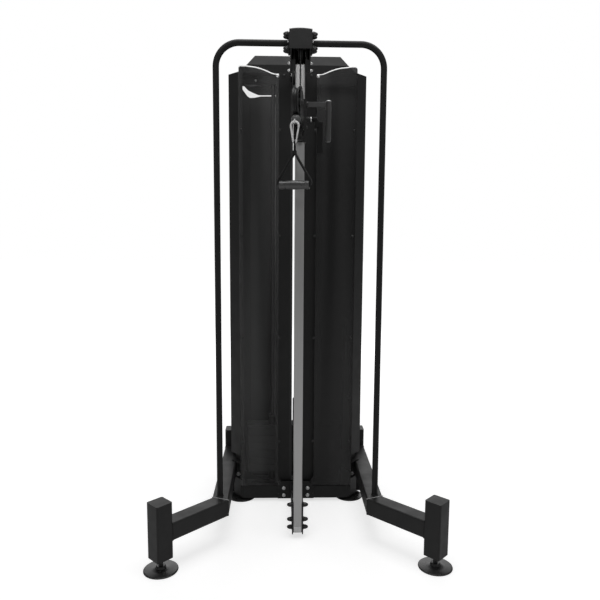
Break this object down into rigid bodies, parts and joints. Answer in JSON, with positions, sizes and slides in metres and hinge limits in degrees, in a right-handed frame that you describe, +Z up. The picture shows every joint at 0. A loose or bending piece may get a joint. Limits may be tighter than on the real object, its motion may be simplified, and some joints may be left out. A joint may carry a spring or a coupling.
{
  "type": "cable machine",
  "caption": "Free-standing single-column cable machine: steel column with sliding pulley carriage and stirrup handle, weight tower behind smoked covers, arched tube and angled legs.",
  "frame": {"origin": "on the floor, under the middle of the footprint (bounding box bottom centre)", "axes": "+Z up, +Y from the column back to the weight tower, +X to the machine's right as seen from the front"},
  "size_m": [1.279, 1.05, 2.2165],
  "materials": {
    "black_paint": "satin powder coat",
    "satin_steel": "satin, brushed lengthways",
    "bright_steel": "polished",
    "zinc": "bright zinc plated",
    "black_zinc": "black plated, satin",
    "cast": "matt black",
    "smoked_sheet": "smoked clear sheet",
    "rubber": "matt",
    "pulley_plastic": "satin moulding",
    "webbing": "woven",
    "cable_cover": "smooth sheath"
  },
  "bodies": {
    "frame": {"arch_left": "black_paint", "arch_right": "black_paint", "bumper_left": "rubber", "bumper_right": "rubber", "cable": "cable_cover", "column": "satin_steel", "corner_post_left": "black_paint", "corner_post_right": "black_paint", "front_cover_left": "smoked_sheet", "front_cover_right": "smoked_sheet", "guide_rod_left": "bright_steel", "guide_rod_right": "bright_steel", "head_bracket": "black_paint", "head_cover": "black_paint", "header": "black_paint", "inner_post_left": "black_paint", "inner_post_right": "black_paint", "leg_left": "black_paint", "leg_right": "black_paint", "lower_bracket": "black_paint", "rear_crossbar": "black_paint", "rear_shroud_left": "black_paint", "rear_shroud_right": "black_paint", "top_beam": "black_paint", "tower_base": "black_paint", "tower_foot_front_left": "black_zinc", "tower_foot_front_right": "black_zinc", "tower_foot_rear_left": "black_zinc", "tower_foot_rear_right": "black_zinc", "weight_plate_3": "cast", "weight_plate_4": "cast", "weight_plate_5": "cast", "weight_plate_6": "cast"},
    "carriage": {"carriage": "black_paint", "slide_bush": "pulley_plastic", "grab_handle": "black_paint"},
    "release": {"release_lever": "black_paint"},
    "fork": {"pulley_fork": "black_zinc", "cable_handle_run": "cable_cover"},
    "carriage_pulley": {"carriage_pulley": "pulley_plastic"},
    "ball": {"ball_stopper": "rubber"},
    "carabiner": {"carabiner": "zinc"},
    "gate": {"carabiner_gate": "zinc"},
    "strap": {"strap": "webbing"},
    "grip": {"grip": "rubber"},
    "stack": {"stack_carrier": "cast", "weight_plate_1": "cast", "weight_plate_2": "cast"},
    "pin": {"selector_pin": "pulley_plastic"},
    "stack_pulley": {"stack_pulley": "pulley_plastic"},
    "head_pulley": {"head_pulley": "pulley_plastic"},
    "front_top_pulley": {"front_top_pulley": "pulley_plastic"},
    "rear_top_pulley": {"rear_top_pulley": "pulley_plastic"},
    "base_pulley": {"base_pulley": "pulley_plastic"},
    "column_foot_pulley": {"column_foot_pulley": "pulley_plastic"},
    "foot_front_left": {"foot_front_left": "black_zinc"},
    "foot_front_right": {"foot_front_right": "black_zinc"},
    "foot_rear_left": {"foot_rear_left": "black_zinc"},
    "foot_rear_right": {"foot_rear_right": "black_zinc"}
  },
  "joints": [
    {"name": "carriage_slide", "type": "slide", "parent": "frame", "child": "carriage", "axis": [0, 0, 1], "range_m": [-1.5, 0.06], "deforming": ["cable"]},
    {"name": "release_pull", "type": "slide", "parent": "carriage", "child": "release", "axis": [1, 0, 0], "range_m": [-0.0045, 0.0045], "stiffness_N_per_m": 1200, "springref_m": -0.0095},
    {"name": "pulley_swivel", "type": "hinge", "parent": "carriage", "child": "fork", "pos_m": [0, -0.243, 1.8], "axis": [0, 0, 1], "range_deg": [-67, 93]},
    {"name": "carriage_pulley_spin", "type": "hinge", "parent": "fork", "child": "carriage_pulley", "pos_m": [-0.01237, -0.29659, 1.902], "axis": [0.9744, -0.225, 0], "continuous": true},
    {"name": "handle_pull", "type": "slide", "parent": "fork", "child": "ball", "axis": [-0.2055, -0.8901, -0.4067], "range_m": [0, 1.6], "deforming": ["cable_handle_run"]},
    {"name": "carabiner_swing", "type": "hinge", "parent": "ball", "child": "carabiner", "pos_m": [-0.02458, -0.34948, 1.81763], "axis": [-0.9744, 0.225, 0], "range_deg": [-5, 95]},
    {"name": "gate_open", "type": "hinge", "parent": "carabiner", "child": "gate", "pos_m": [-0.01722, -0.35118, 1.74834], "axis": [-0.225, -0.9744, 0], "range_deg": [0, 25], "stiffness_Nm_per_rad": 0.05, "springref_deg": -11.46},
    {"name": "strap_swing", "type": "hinge", "parent": "carabiner", "child": "strap", "pos_m": [-0.02458, -0.34948, 1.736], "axis": [-0.9744, 0.225, 0], "range_deg": [-10, 60]},
    {"name": "grip_spin", "type": "hinge", "parent": "strap", "child": "grip", "pos_m": [-0.02458, -0.34948, 1.57], "axis": [0.9744, -0.225, 0], "continuous": true},
    {"name": "stack_lift", "type": "slide", "parent": "frame", "child": "stack", "axis": [0, 0, 1], "range_m": [0, 0.8], "deforming": ["cable"]},
    {"name": "selector_pull", "type": "slide", "parent": "stack", "child": "pin", "axis": [0, -1, 0], "range_m": [0, 0.12]},
    {"name": "stack_pulley_spin", "type": "hinge", "parent": "stack", "child": "stack_pulley", "pos_m": [0, 0.275, 0.5], "axis": [1, 0, 0], "continuous": true},
    {"name": "head_pulley_spin", "type": "hinge", "parent": "frame", "child": "head_pulley", "pos_m": [0, -0.198, 2.135], "axis": [1, 0, 0], "continuous": true},
    {"name": "front_top_pulley_spin", "type": "hinge", "parent": "frame", "child": "front_top_pulley", "pos_m": [0, 0.18, 2.135], "axis": [1, 0, 0], "continuous": true},
    {"name": "rear_top_pulley_spin", "type": "hinge", "parent": "frame", "child": "rear_top_pulley", "pos_m": [0, 0.36, 2.135], "axis": [1, 0, 0], "continuous": true},
    {"name": "base_pulley_spin", "type": "hinge", "parent": "frame", "child": "base_pulley", "pos_m": [0, 0.36, 0.135], "axis": [1, 0, 0], "continuous": true},
    {"name": "column_foot_pulley_spin", "type": "hinge", "parent": "frame", "child": "column_foot_pulley", "pos_m": [0, -0.12, 0.135], "axis": [1, 0, 0], "continuous": true},
    {"name": "foot_front_left_turn", "type": "hinge", "parent": "frame", "child": "foot_front_left", "pos_m": [-0.568, -0.4535, 0], "axis": [0, 0, 1], "continuous": true},
    {"name": "foot_front_right_turn", "type": "hinge", "parent": "frame", "child": "foot_front_right", "pos_m": [0.568, -0.4535, 0], "axis": [0, 0, 1], "continuous": true},
    {"name": "foot_rear_left_turn", "type": "hinge", "parent": "frame", "child": "foot_rear_left", "pos_m": [-0.345, 0.4535, 0], "axis": [0, 0, 1], "continuous": true},
    {"name": "foot_rear_right_turn", "type": "hinge", "parent": "frame", "child": "foot_rear_right", "pos_m": [0.345, 0.4535, 0], "axis": [0, 0, 1], "continuous": true}
  ],
  "couplings": [
    {"joint": "handle_pull", "follows": "stack_lift", "ratio": 2},
    {"joint": "carriage_pulley_spin", "follows": "stack_lift", "rad_per_m": -36.364},
    {"joint": "head_pulley_spin", "follows": "stack_lift", "rad_per_m": 44.444},
    {"joint": "front_top_pulley_spin", "follows": "stack_lift", "rad_per_m": 44.444},
    {"joint": "stack_pulley_spin", "follows": "stack_lift", "rad_per_m": -20},
    {"joint": "rear_top_pulley_spin", "follows": "carriage_slide", "rad_per_m": -28.571},
    {"joint": "base_pulley_spin", "follows": "carriage_slide", "rad_per_m": -28.571},
    {"joint": "column_foot_pulley_spin", "follows": "carriage_slide", "rad_per_m": -28.571}
  ]
}
